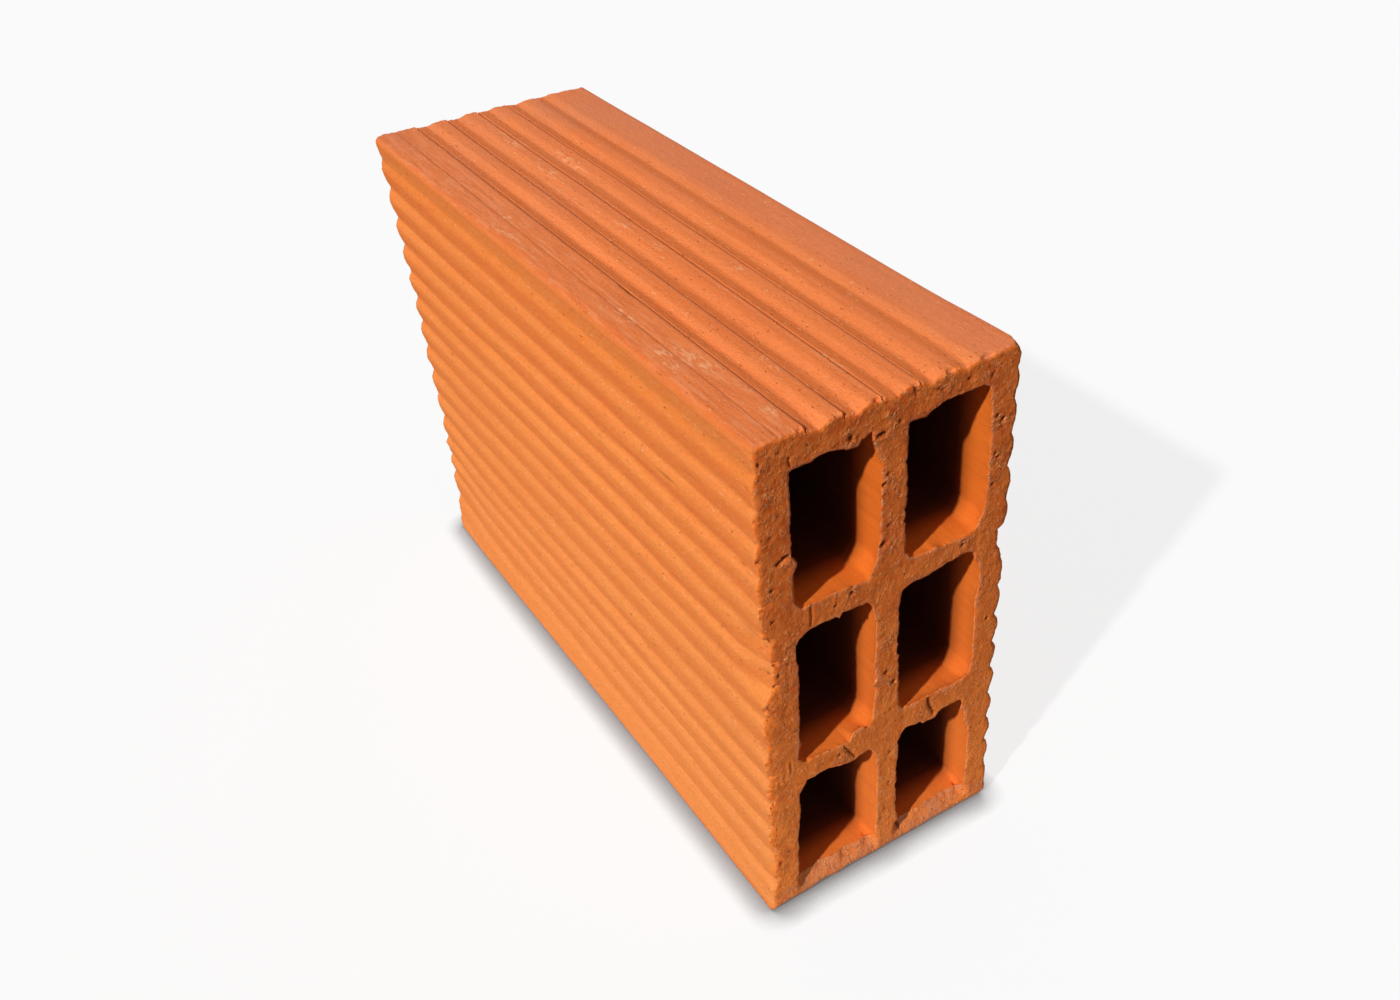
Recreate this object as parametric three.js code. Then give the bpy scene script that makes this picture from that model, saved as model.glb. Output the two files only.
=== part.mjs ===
// Hollow clay brick: one extruded, wire-cut and fired piece, with six cells through its length.
// Millimetres, +Z up. The length runs along X and the thickness along Y. The brick stands on its
// lower bed, and the origin is the middle of that bed.

import * as THREE from 'three';

// Overall size, over the crests of the flutes
const LENGTH = 285;
const THICKNESS = 97;
const HEIGHT = 198;

// Walls and webs. The cores hang a little off centre in the die, so opposite walls differ.
const LEFT_WALL = 12;
const RIGHT_WALL = 10.4;
const LOWER_WALL = 10;
const UPPER_WALL = 11.4;
const UPRIGHT_WEB = 9.4;
const CROSS_WEB = 10;

// Heights of the outer rows of cells. The middle row takes what is left.
const TOP_ROW = 52;
const BOTTOM_ROW = 48;

// Long outer edges, and cell corners: chamfered where a wall meets a cross web, else nearly sharp
const ARRIS_RADIUS = 3;
const CELL_RADIUS = 1.5;
const CHAMFER_ACROSS = 4;
const CHAMFER_UP = 4;

// Flutes of the two long faces, which key the plaster. They are shared out between the plain lands
// above the lower bed and below the upper one. Each has a short steep flank and a long gentle one.
const FLUTES = { count: 14, land: 15, farLand: 11.6, crest: 0.8, steepFlank: 3.8, depth: 1.6 };

// Grooves of the two beds, which key the mortar, counted from the left face in the same way
const GROOVES = { count: 5, land: 18.2, farLand: 16.7, crest: 4.2, steepFlank: 2.8, depth: 1.6 };

// Smoothness of the round stretches
const FLANK_STEPS = 5;
const ARC_STEPS = 5;

const cellWidth = (THICKNESS - LEFT_WALL - RIGHT_WALL - UPRIGHT_WEB) / 2;
const middleRow = HEIGHT - LOWER_WALL - UPPER_WALL - 2 * CROSS_WEB - TOP_ROW - BOTTOM_ROW;

// Corners of a rectangle in counter-clockwise order, as signs of y and z
const CORNERS = [[-1, -1], [1, -1], [1, 1], [-1, 1]];

// One side's hollows as [distance along it, depth] pairs, from its lower or left end
function hollowProfile(span, { count, land, farLand, crest, steepFlank, depth }) {
  const pitch = (span - land - farLand + crest) / count;
  const gentleFlank = pitch - crest - steepFlank;
  const profile = [];
  for (let n = 0; n < count; n++) {
    for (let i = 0; i <= 2 * FLANK_STEPS; i++) {
      const flank = i / FLANK_STEPS;
      const offset = Math.min(flank, 1) * steepFlank + Math.max(flank - 1, 0) * gentleFlank;
      profile.push([land + n * pitch + offset, depth * Math.sin(Math.PI / 2 * flank) ** 2]);
    }
  }
  return profile;
}

// Outer outline of the section, counter-clockwise: each arris, then the side that leaves it. The
// upper bed and the left face are drawn backwards, from their far ends.
function sectionOutline() {
  const outline = new THREE.Shape();
  CORNERS.forEach(([sideY, sideZ], i) => {
    const isBed = i % 2 === 0;
    const backwards = i > 1;
    const cornerY = sideY * THICKNESS / 2;
    const cornerZ = sideZ > 0 ? HEIGHT : 0;
    const turn = (i + 2) * Math.PI / 2;
    outline.absarc(cornerY - sideY * ARRIS_RADIUS, cornerZ - sideZ * ARRIS_RADIUS,
      ARRIS_RADIUS, turn, turn + Math.PI / 2, false);
    const profile = isBed ? hollowProfile(THICKNESS, GROOVES) : hollowProfile(HEIGHT, FLUTES);
    if (backwards) profile.reverse();
    for (const [distance, dip] of profile) {
      if (isBed) outline.lineTo(distance - THICKNESS / 2, cornerZ - sideZ * dip);
      else outline.lineTo(cornerY - sideY * dip, distance);
    }
  });
  return outline;
}

// One cell, from its lower left corner. A side with a web beyond it has chamfered corners.
function cellOutline(left, bottom, height, webBelow, webAbove) {
  const outline = new THREE.Path();
  CORNERS.forEach(([sideY, sideZ], i) => {
    const chamfered = sideZ > 0 ? webAbove : webBelow;
    const across = chamfered ? CHAMFER_ACROSS : CELL_RADIUS;
    const up = chamfered ? CHAMFER_UP : CELL_RADIUS;
    const y = sideY > 0 ? left + cellWidth : left;
    const z = sideZ > 0 ? bottom + height : bottom;
    const onUpright = new THREE.Vector2(y, z - sideZ * up);
    const onLevel = new THREE.Vector2(y - sideY * across, z);
    const [enter, leave] = sideY === sideZ ? [onUpright, onLevel] : [onLevel, onUpright];
    if (i === 0) outline.moveTo(enter.x, enter.y);
    else outline.lineTo(enter.x, enter.y);
    if (chamfered) outline.lineTo(leave.x, leave.y);
    else outline.quadraticCurveTo(y, z, leave.x, leave.y);
  });
  return outline;
}

// The six cells: two columns beside the upright web, in three rows between the cross webs
function cellOutlines() {
  const leftColumn = -THICKNESS / 2 + LEFT_WALL;
  const rightColumn = leftColumn + cellWidth + UPRIGHT_WEB;
  const middleFloor = LOWER_WALL + BOTTOM_ROW + CROSS_WEB;
  const topFloor = middleFloor + middleRow + CROSS_WEB;
  return [leftColumn, rightColumn].flatMap((left) => [
    cellOutline(left, LOWER_WALL, BOTTOM_ROW, false, true),
    cellOutline(left, middleFloor, middleRow, true, true),
    cellOutline(left, topFloor, TOP_ROW, true, false),
  ]);
}

// The section is drawn in Y and Z and extruded along X, from one wire cut to the other
function brickBody() {
  const section = sectionOutline();
  section.holes = cellOutlines();
  const body = new THREE.ExtrudeGeometry(section, {
    depth: LENGTH,
    curveSegments: ARC_STEPS,
    bevelEnabled: false,
  });
  body.translate(0, 0, -LENGTH / 2);
  const alongY = new THREE.Vector3(0, 1, 0);
  const alongZ = new THREE.Vector3(0, 0, 1);
  const alongX = new THREE.Vector3(1, 0, 0);
  body.applyMatrix4(new THREE.Matrix4().makeBasis(alongY, alongZ, alongX));
  return body;
}

const firedClay = new THREE.MeshStandardMaterial({ color: 0xd4733d, roughness: 0.92, metalness: 0 });

const hollowBrick = new THREE.Mesh(brickBody(), firedClay);
hollowBrick.name = 'hollow_brick';

const part = new THREE.Group();
part.add(hollowBrick);

export default part;
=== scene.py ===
"""Hollow clay brick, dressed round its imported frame: one extruded, wire-cut and fired piece.

Sizes are in millimetres until the mesh is made. Places on the brick are given as a mason would
measure them: `deep` is in from the near cut end, `across` from the left face and `down` from the
upper bed. The near end is the one at +X, and the left face is the one at -Y.
"""
import itertools
import math
import bpy
import numpy as np
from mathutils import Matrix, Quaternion, Vector
from mathutils.geometry import delaunay_2d_cdt


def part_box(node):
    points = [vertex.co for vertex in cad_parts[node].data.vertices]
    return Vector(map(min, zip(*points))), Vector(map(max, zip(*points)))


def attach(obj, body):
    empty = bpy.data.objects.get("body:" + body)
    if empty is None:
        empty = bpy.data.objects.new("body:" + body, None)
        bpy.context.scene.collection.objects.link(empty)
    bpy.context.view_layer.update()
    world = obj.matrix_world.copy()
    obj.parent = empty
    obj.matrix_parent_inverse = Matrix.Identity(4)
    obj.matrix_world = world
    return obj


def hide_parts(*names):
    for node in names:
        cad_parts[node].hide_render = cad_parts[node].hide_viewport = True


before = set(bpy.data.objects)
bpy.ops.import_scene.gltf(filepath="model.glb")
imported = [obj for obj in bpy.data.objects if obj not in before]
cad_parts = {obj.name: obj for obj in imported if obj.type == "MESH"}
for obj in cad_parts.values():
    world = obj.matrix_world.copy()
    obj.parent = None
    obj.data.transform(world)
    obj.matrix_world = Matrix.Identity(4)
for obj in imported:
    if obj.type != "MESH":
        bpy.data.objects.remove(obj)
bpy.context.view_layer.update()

MM = 0.001
NODE = "hollow_brick"
LOW, HIGH = (np.array(corner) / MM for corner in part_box(NODE))
HALF_LENGTH, HALF_THICKNESS, HEIGHT = HIGH
LENGTH = 2 * HALF_LENGTH
THICKNESS = 2 * HALF_THICKNESS

# Spacing of the surface's points round the section
SKIN_STEP = 0.65
CELL_STEP = 0.7

# Rings of points along the length: the first gap at the ends, how much each gap outgrows the last,
# the longest gaps of the skin and of the cells, and how far in the rings keep all their points
FIRST_RING = 0.42
RING_GROWTH = 1.28
LONGEST_RING = 8.0
LONGEST_CELL_RING = 18.0
FINE_REACH = 4.0

# Points on the cut ends: their spacing on the near and the far one, the row that follows each rim,
# and how close points may come to each other and to a rim
NEAR_CUT_STEP = 0.85
FAR_CUT_STEP = 1.5
ROW_INSET = 0.6
ROW_GAP = 0.45
LEAST_GAP = 0.3
RIM_GAP = 0.25

# The net of points on a cut end, as shares of its spacing: the height of its rows, how far its points
# stray, and how close they may come to others
NET_ROW = 0.87
NET_STRAY = 0.22
NET_GAP = 0.72

# Points that are compared with all the others at a time, which spares memory
BLOCK = 1000

# How far the valleys of the flutes are drawn from round to sharp
VALLEY_SHARPNESS = 0.6

# A weak flute in the upper land of the long faces: where it starts, lies deepest and ends, down
LAND_FLUTE = (1.4, 8.6, 11.6)
LAND_FLUTE_DEPTH = 1.3

# How far the flutes of the left face lie below their even spacing: down, near end, far end
FLUTE_DROPS = (
    (0, 0, 0), (20, 2, 3), (40, 1, 3.5), (65, 0, 3.5), (85, -0.5, 3), (100, -2.5, 3), (110, -2, 3),
    (125, 0.5, 4), (135, 0.5, 4), (150, -1, 2), (170, 0.5, -0.5), (185, 2.5, 2.5), (198, 0, 0),
)
DROP_LENGTH = 215.0

# How much of the flutes of the left face is filled, down it. Low down they are clear at the near end,
# and high up they are filled more there. Towards the far end all flutes are deeper.
FLUTE_FILL = (
    (0, 0.2), (60, 0.1), (85, 0.15), (100, 0.35), (110, 0.3), (130, 0.2), (150, 0.45), (170, 0.45),
    (198, 0.2),
)
CLEAR_FROM = (60, 75)
CLEAR_REACH = 6.0
RIM_FILL = 0.25
RIM_FILL_UNTIL = (55, 68)
RIM_FILL_REACH = 12.0
FAR_FILL = -0.3
FAR_FILL_REACH = (5, 50)
RIGHT_FILL = -0.15

# Unevenness, in layers of how much, the size of its bumps along X, Y and Z, and its seed. Beside it,
# how far the skin and the cells lie inside the section, so that their ripples never leave it.
FLUTE_WANDER = ((0.45, (38, 14, 9), 1), (0.25, (13, 8, 6), 2))
FILL_DRIFT = ((0.14, (22, 9, 7), 3),)
SKIN_RIPPLE = (
    (0.06, (55, 11, 11), 4), (0.05, (16, 3.5, 3.5), 5), (0.05, (60, 2.6, 2.2), 6), (0.04, (5, 2, 2), 7),
)
SCORE_DRIFT = ((0.4, (12, 50, 50), 8),)
GROOVE_WANDER = ((0.2, (30, 6, 60), 31), (0.12, (7, 3, 60), 32))
GROOVE_DEPTH_DRIFT = ((0.15, (35, 9, 60), 33),)
CELL_RIPPLE = ((0.15, (40, 6, 6), 9), (0.08, (7, 3, 3), 10))
CUT_RIPPLE = ((0.12, (9, 8, 6), 16), (0.06, 2.6, 17))
SKIN_ALLOWANCE = 0.11
CELL_ALLOWANCE = 0.15

# How near to a bed the flutes stop wandering
STEADY_REACH = 12.0

# The wire left the ends this much under the full length, so that torn lips can stand proud
CUT_RECESS = 0.4


# ---------------------------------------------------------------------------- small tools

def soft_noise(places, grain, seed):
    """Smooth noise from -1 to 1. `grain` is the size of one bump, or its size along each axis."""
    lattice = np.random.default_rng(seed).uniform(-1, 1, (32, 32, 32))
    scaled = places / np.asarray(grain, float)
    corner = np.floor(scaled).astype(int)
    part = scaled - corner
    part = part * part * (3 - 2 * part)
    total = np.zeros(len(places))
    for step in itertools.product((0, 1), repeat=3):
        weight = np.where(step, part, 1 - part).prod(axis=1)
        total += weight * lattice[tuple((corner + step).T % 32)]
    return total


def rise(value, start, end):
    """0 before start and 1 past end, with a smooth climb between."""
    share = np.clip((value - start) / (end - start), 0, 1)
    return share * share * (3 - 2 * share)


def within(value, start, started, ending, ended):
    """1 from started to ending, and 0 before start and past ended, with smooth climbs between."""
    return rise(value, start, started) * (1 - rise(value, ending, ended))


def fall_away(distance, size):
    """How far a worn rim of this size falls away, at a distance from it."""
    return np.clip(1 - distance / size, 0, 1) ** 2 * size


def inside(places, loops):
    """Whether each (Y, Z) place lies in the clay of the section, by counting crossings."""
    odd = np.zeros(len(places), bool)
    for loop in loops:
        for (y0, z0), (y1, z1) in zip(loop, np.roll(loop, -1, axis=0)):
            if z0 == z1:
                continue
            crosses = (places[:, 1] > min(z0, z1)) & (places[:, 1] <= max(z0, z1))
            odd ^= crosses & (places[:, 0] < y0 + (places[:, 1] - z0) * (y1 - y0) / (z1 - z0))
    return odd


def nearest_of(places, targets):
    """The number of the target nearest to each place."""
    nearest = []
    for block in np.array_split(places, len(places) // BLOCK + 1):
        gaps = block[:, None, :] - targets[None, :, :]
        nearest.append((gaps ** 2).sum(axis=2).argmin(axis=1))
    return np.concatenate(nearest)


def distance_to(places, targets):
    """Distance from each place to the nearest of the targets."""
    return np.hypot(*(places - targets[nearest_of(places, targets)]).T)


def along_line(points, step):
    """Places every `step` along a line of points."""
    places = []
    for here, there in zip(points, points[1:]):
        here, there = np.array(here), np.array(there)
        count = max(1, round(np.hypot(*(there - here)) / step))
        places += [here + (there - here) * i / count for i in range(count)]
    return np.array(places + [np.array(points[-1])])


def to_section(places):
    """From (across, down) to (Y, Z)."""
    places = np.asarray(places, float)
    return np.stack([places[:, 0] - HALF_THICKNESS, HEIGHT - places[:, 1]], axis=1)


# ---------------------------------------------------------------------------- the section

# Upper bed: where the die scored the clay, from the left face, and how deep
SCORES = ((9.6, 0.18), (18.5, 0.75), (31.3, 0.75), (44.9, 0.5), (58.3, 0.45))
SCORE_HALF_WIDTH = 0.5

# A score from side to side, as shares of its half width and of its depth, and how close to one the
# other points of the bed may come, as a share of the half width
SCORE_SHAPE = ((1, 0.0), (0.5, 0.8), (0, 1.0), (-0.5, 0.8), (-1, 0.0))
SCORE_CLEARANCE = 1.4

# Points of the outer loop that are this high lie on the upper bed
BED_LEVEL = HEIGHT - 5

# Grooves of the beds. For each, how far across it starts, its drop ends, its floor ends and its ramp
# ends, and how deep it is at both ends of the floor.
GROOVES = (
    (18.2, 18.7, 22.6, 26.2, 0.6, 1.25),
    (31.0, 31.5, 35.6, 39.9, 0.7, 1.25),
    (44.7, 45.3, 49.9, 53.2, 0.25, 0.85),
    (58.0, 58.9, 62.6, 66.6, 0.3, 0.95),
    (71.0, 72.6, 75.3, 79.7, 0.2, 0.8),
)

# How deep the grooves were left, how much deeper they are at the near rim, and how soon that fades
GROOVES_LEFT = 0.95
RIM_DEEPENING = 1.1
RIM_REACH = 7.0

# How far the middle grooves run to the right by the far end, and where, across the bed, that starts,
# is full, lessens and stops
GROOVE_DRIFT = 0.9
DRIFTING = (18, 34, 66, 88)


def section_loops(node):
    """The loops of the section as (Y, Z), read from the node's end at +X. The outer one is first."""
    mesh = node.data
    key = [tuple(np.round(np.array(v.co) / MM, 4)) for v in mesh.vertices]
    edges = set()
    for face in mesh.polygons:
        corners = [key[i] for i in face.vertices]
        if all(abs(x - HALF_LENGTH) < 0.01 for x, _, _ in corners):
            edges.update(zip(corners, corners[1:] + corners[:1]))
    after = {a: b for a, b in sorted(edges) if (b, a) not in edges}
    loops = []
    while after:
        here = next(iter(after))
        loop = []
        while here in after:
            loop.append(here[1:])
            here = after.pop(here)
        loops.append(np.array(loop))
    return sorted(loops, key=lambda loop: -np.ptp(loop[:, 1]))


def divided(loop, step):
    """The loop with points added, so that no stretch of it is longer than step."""
    points = []
    for here, there in zip(loop, np.roll(loop, -1, axis=0)):
        count = max(1, math.ceil(np.hypot(*(there - here)) / step))
        points += [here + (there - here) * i / count for i in range(count)]
    return np.array(points)


def eased(loop):
    """The loop with its corners worn a little round."""
    return loop / 2 + (np.roll(loop, 1, axis=0) + np.roll(loop, -1, axis=0)) / 4


def evened(loop, marks):
    """The loop, and what marks its points, with one point more where its number is odd."""
    if len(loop) % 2:
        middle = (loop[0] + loop[-1]) / 2
        return np.vstack([loop, middle]), np.append(marks, 0.0)
    return loop, marks


def scored(loop):
    """The outer loop with points where the die scored the upper bed, and each point's score depth.
    A score starts at an even point, because the rings away from the ends skip the odd ones."""
    gaps = np.abs(loop[:, :1] + HALF_THICKNESS - np.array(SCORES)[:, 0])
    crowded = (gaps < SCORE_CLEARANCE * SCORE_HALF_WIDTH).any(axis=1)
    loop = loop[~(crowded & (loop[:, 1] > BED_LEVEL))]
    points = []
    depths = []
    for here, there in zip(loop, np.roll(loop, -1, axis=0)):
        points.append(here)
        depths.append(0.0)
        if min(here[1], there[1]) < BED_LEVEL or there[0] >= here[0]:
            continue
        for across, depth in reversed(SCORES):
            middle = across - HALF_THICKNESS
            if not there[0] < middle <= here[0]:
                continue
            level = here[1] + (there[1] - here[1]) * (middle - here[0]) / (there[0] - here[0])
            if len(points) % 2:
                points.append((np.array(points[-1]) + (middle + 2 * SCORE_HALF_WIDTH, level)) / 2)
                depths.append(0.0)
            for side, share in SCORE_SHAPE:
                points.append((middle + side * SCORE_HALF_WIDTH, level))
                depths.append(depth * share)
    return np.array(points), np.array(depths)


def outward(loop):
    """Unit direction out of the clay at each point of a loop. The clay lies on its left."""
    along = np.roll(loop, -1, axis=0) - np.roll(loop, 1, axis=0)
    along /= np.hypot(*along.T)[:, None]
    return np.stack([along[:, 1], -along[:, 0]], axis=1)


def stations(longest):
    """Places along the length: close together at both ends and further apart in the middle."""
    depth = [0.0]
    step = FIRST_RING
    while depth[-1] + step < HALF_LENGTH:
        depth.append(depth[-1] + step)
        step = min(step * RING_GROWTH, longest)
    near = HALF_LENGTH - np.array(depth)
    return np.concatenate([near, -near[::-1]])


# ---------------------------------------------------------------------------- marks of making and use

# Pits where grit was torn out of the near end: across, down, radius
PITS = (
    (2.0, 5.7, 0.6), (9.3, 4.9, 0.5), (33.6, 9.0, 0.95), (35.9, 9.6, 0.5), (46.3, 12.5, 0.9),
    (50.9, 10.6, 0.6), (64.8, 4.6, 0.55), (66.2, 5.6, 0.5), (76.3, 5.6, 0.6), (85.2, 7.4, 0.55),
    (8.4, 25.9, 0.5), (5.6, 31.6, 0.5), (5.2, 51.3, 0.7), (45.6, 30.6, 0.9), (47.0, 27.4, 0.6),
    (46.3, 52.7, 1.0), (47.7, 46.3, 0.6), (88.8, 23.1, 0.8), (90.9, 24.9, 0.9), (88.8, 36.6, 0.7),
    (89.9, 38.4, 0.8), (88.8, 48.4, 0.7), (4.9, 63.4, 0.6), (34.1, 66.3, 0.9), (34.2, 63.8, 0.5),
    (27.7, 68.4, 0.6), (78.1, 65.6, 0.7), (78.1, 67.7, 0.7), (48.1, 107.0, 0.9), (51.3, 112.7, 1.1),
    (42.2, 101.2, 0.6), (42.0, 109.6, 0.7), (91.3, 105.2, 0.8), (2.7, 86.3, 0.7), (8.6, 82.6, 0.5),
    (50.2, 146.0, 0.6), (50.2, 161.0, 0.6), (7.7, 168.9, 0.5), (28.8, 134.2, 0.6), (50.0, 125.0, 0.5),
    (11.2, 113.0, 0.5), (3.4, 172.6, 0.6), (43.6, 178.6, 0.8), (48.6, 174.0, 0.5),
)

# Pits scattered over the near and the far end: how many, smallest and largest radius, seed
RANDOM_PITS = ((180, 0.18, 0.45, 11), (150, 0.3, 1.1, 12))

# Circles of points round a pit, as shares of its radius, with how many points
PIT_CIRCLES = ((0.5, 5), (0.95, 8), (1.35, 9))

# Cracks from drying and tears from the wire, as across and down along each, with its depth
CRACKS = (
    (((18.6, 63.5), (18.75, 68.0), (18.5, 72.0)), 0.45),
    (((31.3, 132.8), (33.2, 136.0), (35.6, 139.6)), 1.0),
    (((66.6, 131.0), (67.4, 133.9), (69.5, 137.8)), 1.4),
    (((55.6, 0.6), (56.0, 2.2), (56.6, 4.1)), 0.7),
    (((12.2, 184.4), (12.0, 188.6), (11.6, 191.0)), 1.0),
    (((55.4, 184.4), (56.2, 188.4), (56.6, 191.0)), 1.8),
    (((7.7, 42.7), (9.0, 41.5), (10.4, 41.2)), 1.8),
    (((12.4, 7.9), (12.8, 10.4)), 1.2),
)
CRACK_HALF_WIDTH = 0.27
CRACK_STEP = 0.15

# Where the wire left the edges of the cells at the near end. An upright edge is drawn at the first
# number across, and the pairs say how far down and how far across it really runs.
UPRIGHT_EDGES = (
    (12.0, ((13, 12.2), (42, 12.5), (45, 14.1), (48.5, 12.7), (60, 12.8))),
    (44.6, ((11, 41.8), (17.7, 42.4), (22, 44.5), (50, 44.5), (53, 43.4), (59, 42.7), (63, 42))),
    (54.0, ((12, 54.1), (24.5, 54.1), (26, 53.3), (27.5, 54.1), (41.5, 54.1), (43, 53.4), (44.5, 54.2),
            (47, 53.4), (48.5, 54.1), (60, 54.2))),
    (86.6, ((12, 85.0), (25, 86.3), (48, 86.6), (54, 86.3), (59.9, 84.6), (62, 84.4))),
    (12.0, ((76, 12.7), (80, 12.7), (90, 13.4), (102, 13.4), (120, 13.1), (125, 12.7))),
    (44.6, ((75, 43.4), (78, 42.2), (83, 43.4), (99, 43.3), (101, 42.4), (103, 43.5), (108, 43.2),
            (109.5, 41.9), (111.5, 43.5), (121, 42.7), (128, 42.0))),
    (54.0, ((75, 53.2), (82, 52.4), (98, 52.4), (100.6, 51.8), (102, 52.9), (119, 53.1), (125, 53.4))),
    (86.6, ((75, 84.2), (79.9, 85.9), (87, 86.3), (93, 85.2), (115, 85.2), (119, 85.6), (124, 84.9),
            (128, 84.6))),
    (12.0, ((141, 12.7), (153, 12.4), (162, 11.6), (186, 11.3))),
    (44.6, ((142, 44.0), (150, 44.7), (186, 44.7))),
    (54.0, ((139, 54.0), (150, 53.8), (160, 53.1), (176, 53.4), (184, 54.6))),
    (86.6, ((141, 83.4), (143, 82.8), (149.6, 83.8), (154.6, 85.9), (170, 86.3), (186, 85.6))),
)

# The same for the level edges, from the upper left cell: how far across and how far down each runs
LEVEL_EDGES = (
    (11.4, ((13, 11.9), (20, 11.9), (22, 11.2), (26, 11.2), (28, 11.6), (32.5, 13.2), (36, 13.3),
            (37.5, 11.7), (39, 11.3), (41, 10.5), (43, 11.4))),
    (63.4, ((17, 62.8), (22, 63.0), (27, 62.6), (35, 63.5), (40, 63.5))),
    (11.4, ((54.5, 12.1), (60.6, 12.6), (62.4, 11.3), (65.6, 10.6), (67.7, 9.7), (82, 9.9), (85, 11.4))),
    (63.4, ((58, 63.0), (64, 63.6), (66, 63.0), (70, 64.4), (80, 64.2), (83, 63.2))),
    (73.4, ((14, 74.2), (19, 72.7), (28, 72.7), (29.1, 74.4), (30.2, 72.5), (34, 72.5), (40, 73.1),
            (42.5, 74.2))),
    (130.0, ((17, 128.8), (25, 129.6), (33, 129.9), (34.6, 126.8), (38.6, 126.5), (40, 128.0), (43, 128.6))),
    (73.4, ((54.5, 74.2), (59, 73.2), (65, 73.4), (72, 72.0), (79, 71.4), (84, 72.8))),
    (130.0, ((57, 127.8), (65, 127.6), (78, 128.3), (84, 127.6))),
    (140.0, ((13, 139.2), (16.3, 138.5), (21, 137.8), (25.6, 138.5), (30.6, 139.9), (35.6, 140.3),
             (37, 139.5), (41.3, 139.2), (43.5, 139.8))),
    (140.0, ((54, 137.8), (55.2, 140.2), (56.4, 139.6), (57.2, 138.8), (63.4, 138.7), (64.6, 140.4),
             (70, 140.4), (71.4, 139.0), (73, 138.0), (80.6, 138.0), (83, 139.4))),
)
EDGE_REACH = 2.2
DRAG_DEPTH = 2.6

# Corners of the cells that the wire moved too: across, down, reach, and the move across and down
CORNER_DRAGS = (
    (14.0, 61.4, 2.5, 0.2, 0.5), (56.0, 61.4, 2.5, 0.0, 0.8), (43.6, 13.0, 2.5, -0.8, 0.6),
    (14.0, 75.4, 2.2, -0.4, -0.6), (56.0, 75.4, 2.5, -0.9, -1.2), (14.0, 142.0, 2.6, 0.0, -1.5),
    (56.0, 142.0, 2.8, -0.9, -2.4), (42.6, 142.0, 2.2, 0.2, -1.1), (84.6, 142.0, 2.4, -1.2, -0.6),
)

# Dents from handling, before the clay was dry. For each, the side of the brick, how far down it
# starts and ends, each as a pair that it fades between, how deep in and across it reaches, and
# how far the clay went in.
DENTS = (
    (-1, (67.5, 71.5), (91.5, 99.5), 10.0, 7.0, 3.9),
    (1, (66.0, 69.0), (74.0, 82.0), 8.0, 6.0, 3.4),
    (-1, (166.0, 169.5), (171.0, 175.0), 3.0, 3.0, 1.3),
    (-1, (176.5, 179.5), (180.5, 183.5), 3.0, 3.0, 1.7),
    (-1, (0.0, 1.0), (1.5, 4.0), 4.0, 3.0, 0.9),
)

# Lips of clay thrown up on the near end: across, down, reach, height
LIPS = (
    (11.6, 43.2, 2.0, 0.4), (13.0, 46.5, 2.2, 0.3), (36.5, 127.6, 2.2, 0.4), (66.6, 63.9, 2.4, 0.4),
    (30.5, 137.6, 4.0, 0.3), (62.0, 135.6, 4.0, 0.3), (48.6, 109.6, 2.2, 0.35), (8.0, 74.0, 3.0, 0.3),
)

# Chips, each scooped out by a ball: deep, across and down of its middle, and its size each way
NEAR_CHIPS = (
    ((-1.0, 17.0, -1.5), (2.4, 2.2, 3.0)),
    ((-1.0, 29.6, -1.8), (3.0, 2.6, 3.2)),
    ((-1.0, 43.2, -2.0), (3.2, 2.2, 3.4)),
    ((-1.0, 56.4, -2.0), (3.2, 2.6, 3.2)),
    ((-1.0, 69.4, -2.2), (3.6, 2.8, 3.4)),
    ((-1.0, 83.4, -2.2), (3.6, 4.0, 3.4)),
    ((3.6, 42.9, 187.5), (3.2, 1.1, 1.5)),
    ((3.6, 85.3, 187.5), (3.2, 1.1, 1.5)),
    ((-2.0, 98.5, -0.7), (8.0, 4.8, 4.8)),
    ((-3.0, 99.0, 198.0), (6.0, 4.3, 4.8)),
    ((-4.0, -3.0, 200.0), (6.2, 5.2, 5.0)),
)
FAR_CHIPS = (
    ((-3.0, -1.0, 200.0), (9.0, 5.0, 9.0)),
    ((-2.0, -1.6, 164.5), (7.0, 4.6, 5.0)),
    ((-3.0, 99.0, 30.0), (6.0, 4.4, 7.0)),
    ((-3.0, 60.0, 200.0), (6.0, 9.0, 5.0)),
    ((-3.0, 99.5, 140.0), (6.0, 5.0, 10.0)),
)

# Small crumbs lost from the rims of the cut ends: how many, smallest and largest radius, seed. A chip
# up to CRUMB_SIZE is too small to show fresh clay.
RIM_CRUMBS = (130, 0.5, 1.4, 31)
CRUMB_SIZE = 2.2

# Crumbly ground on the near end, where the wire tore the clay: across, down, reach
CRUMBLED = (
    (8.0, 77.0, 7.5), (8.0, 92.0, 5.0), (3.0, 101.0, 4.0), (67.0, 4.5, 6.0), (84.0, 7.0, 5.0),
    (90.5, 26.0, 7.0), (90.0, 42.0, 9.0), (46.5, 32.0, 6.5), (46.5, 54.0, 4.5), (10.0, 44.0, 4.5),
    (78.0, 66.5, 4.0), (48.0, 109.0, 5.5), (7.0, 168.0, 5.0), (48.0, 176.0, 6.0), (47.0, 12.0, 4.5),
    (34.0, 7.5, 4.5), (3.0, 6.0, 4.0), (5.0, 52.0, 3.5), (34.0, 65.5, 4.0), (30.0, 136.0, 5.5),
    (63.0, 136.0, 5.0), (48.0, 6.5, 4.0), (48.5, 92.0, 5.0), (87.0, 86.0, 4.0), (5.0, 18.0, 3.5),
)

# Where the wire tore the left rim of the near end into teeth, down it, as two pairs that it fades
# between, and how far back that stretch lies
TORN_RIM = (93.0, 99.0, 159.0, 165.0)
TORN_SETBACK = 0.45

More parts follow.
